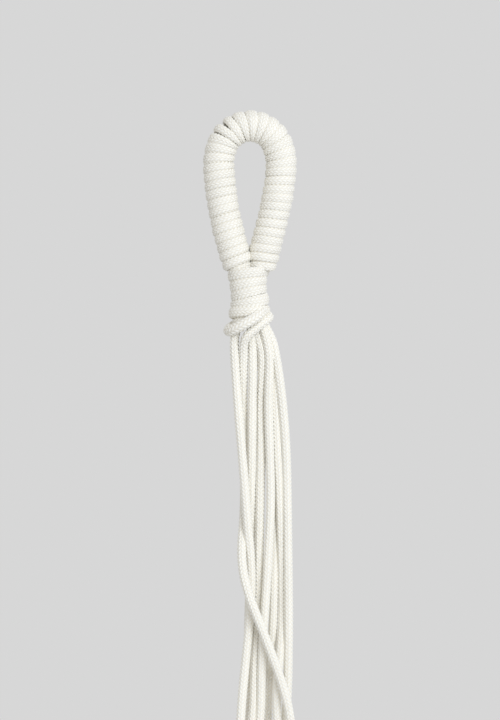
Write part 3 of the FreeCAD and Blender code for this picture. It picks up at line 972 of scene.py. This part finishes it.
def plain_grey(name, tone):
    """A matt pale grey."""
    made = bpy.data.materials.new(name)
    made.use_nodes = True
    shader = made.node_tree.nodes["Principled BSDF"]
    shader.inputs["Base Color"].default_value = (tone, tone, tone, 1.0)
    shader.inputs["Roughness"].default_value = .9
    return made


def stage():
    """The floor, the pale surroundings, one broad light and the camera."""
    look = bpy.context.scene.hanger.stage
    scene = bpy.context.scene
    scene.view_settings.view_transform = "Standard"
    world = bpy.data.worlds.new("pale_room")
    world.use_nodes = True
    ground = world.node_tree.nodes["Background"]
    ground.inputs["Color"].default_value = (look.room, look.room, look.room, 1.0)
    scene.world = world

    bpy.ops.object.select_all(action="DESELECT")
    bpy.ops.mesh.primitive_circle_add(vertices=96, radius=look.floor_radius, fill_type="NGON",
                                      location=(0.0, 0.0, -look.floor_drop - FLOOR_DEPTH))
    floor = bpy.context.object
    floor.name = "floor"
    bpy.ops.object.mode_set(mode="EDIT")
    bpy.ops.mesh.extrude_region_move(TRANSFORM_OT_translate={"value": (0.0, 0.0, FLOOR_DEPTH)})
    bpy.ops.mesh.bevel(offset=FLOOR_DEPTH / 2, segments=4)
    bpy.ops.object.mode_set(mode="OBJECT")
    floor.data.materials.append(plain_grey("pale_floor", FLOOR_TONE))

    bpy.ops.object.light_add(type="AREA", location=KEY_PLACE)
    key = bpy.context.object
    key.name = "key_light"
    key.data.shape = "DISK"
    key.data.size = look.key_size
    key.data.energy = look.key
    key.data.color = look.key_colour
    aim = np.array([0.0, 0.0, look.view_z]) - np.array(key.location)
    key.rotation_euler = Vector(aim).to_track_quat("-Z", "Y").to_euler()

    bpy.ops.object.camera_add(location=(look.view_x, -look.distance, look.view_z),
                              rotation=(math.pi / 2, 0.0, 0.0))
    camera = bpy.context.object
    camera.name = "camera"
    camera.data.lens = camera.data.sensor_width * look.distance / look.view_height
    camera.data.clip_start = .05
    scene.camera = camera


# ---------------------------------------------------------------- operators and panel


class HANGER_OT_stage(bpy.types.Operator):
    """Make the floor, the lights and the camera"""
    bl_idname = "hanger.stage"
    bl_label = "Stage"

    def execute(self, context):
        stage()
        return {"FINISHED"}


class HANGER_OT_hanging_strands(bpy.types.Operator):
    """Hang the eight strands from the neck to the rim knots"""
    bl_idname = "hanger.hanging_strands"
    bl_label = "Hanging Strands"

    def execute(self, context):
        hanging_strands()
        return {"FINISHED"}


class HANGER_OT_net_strands(bpy.types.Operator):
    """Cross the eight strands of the net from the rim knots to the base knots"""
    bl_idname = "hanger.net_strands"
    bl_label = "Net Strands"

    def execute(self, context):
        net_strands()
        return {"FINISHED"}


class HANGER_OT_base_strands(bpy.types.Operator):
    """Run the eight strands from the base knots into the gathering"""
    bl_idname = "hanger.base_strands"
    bl_label = "Base Strands"

    def execute(self, context):
        base_strands()
        return {"FINISHED"}


class HANGER_OT_tassel(bpy.types.Operator):
    """Drop the eight loose ends of the tassel"""
    bl_idname = "hanger.tassel"
    bl_label = "Tassel"

    def execute(self, context):
        tassel()
        return {"FINISHED"}


class HANGER_OT_core_cords(bpy.types.Operator):
    """Lay the four long cords through the loop and the neck"""
    bl_idname = "hanger.core_cords"
    bl_label = "Core Cords"

    def execute(self, context):
        core_cords()
        return {"FINISHED"}


class HANGER_OT_loop_wrap(bpy.types.Operator):
    """Wind the cord round the loop"""
    bl_idname = "hanger.loop_wrap"
    bl_label = "Loop Wrap"

    def execute(self, context):
        loop_wrap()
        return {"FINISHED"}


class HANGER_OT_neck_wrap(bpy.types.Operator):
    """Wind the cord round the neck and add its slanting last turn"""
    bl_idname = "hanger.neck_wrap"
    bl_label = "Neck Wrap"

    def execute(self, context):
        neck_wrap()
        return {"FINISHED"}


class HANGER_OT_gathering(bpy.types.Operator):
    """Gather the strands under the pot and wind the cord round them"""
    bl_idname = "hanger.gathering"
    bl_label = "Gathering"

    def execute(self, context):
        gathering()
        return {"FINISHED"}


class HANGER_OT_knots(bpy.types.Operator):
    """Tie the four rim knots and the four base knots"""
    bl_idname = "hanger.knots"
    bl_label = "Knots"

    def execute(self, context):
        knots()
        return {"FINISHED"}


OPERATORS = [
    HANGER_OT_stage, HANGER_OT_hanging_strands, HANGER_OT_net_strands, HANGER_OT_base_strands,
    HANGER_OT_tassel, HANGER_OT_core_cords, HANGER_OT_loop_wrap, HANGER_OT_neck_wrap,
    HANGER_OT_gathering, HANGER_OT_knots,
]
GROUPS = [CordSettings, WrapSettings, KnotSettings, CottonSettings, StageSettings, HangerSettings]


class HANGER_PT_panel(bpy.types.Panel):
    """The steps that make the hanger, in order"""
    bl_label = "Plant Hanger"
    bl_idname = "HANGER_PT_panel"
    bl_space_type = "VIEW_3D"
    bl_region_type = "UI"
    bl_category = "Plant Hanger"

    def draw(self, context):
        for operator in OPERATORS:
            self.layout.operator(operator.bl_idname)
        for name in ("cord", "wrap", "knot", "cotton", "stage"):
            box = self.layout.box()
            group = getattr(context.scene.hanger, name)
            for key in group.__annotations__:
                box.prop(group, key)


def register():
    for cls in [*GROUPS, *OPERATORS, HANGER_PT_panel]:
        bpy.utils.register_class(cls)
    bpy.types.Scene.hanger = bpy.props.PointerProperty(type=HangerSettings)


def unregister():
    del bpy.types.Scene.hanger
    for cls in reversed([*GROUPS, *OPERATORS, HANGER_PT_panel]):
        bpy.utils.unregister_class(cls)


def main():
    """Make the hanger."""
    register()
    for operator in OPERATORS:
        module, name = operator.bl_idname.split(".")
        getattr(getattr(bpy.ops, module), name)()


if __name__ == "__main__":
    main()
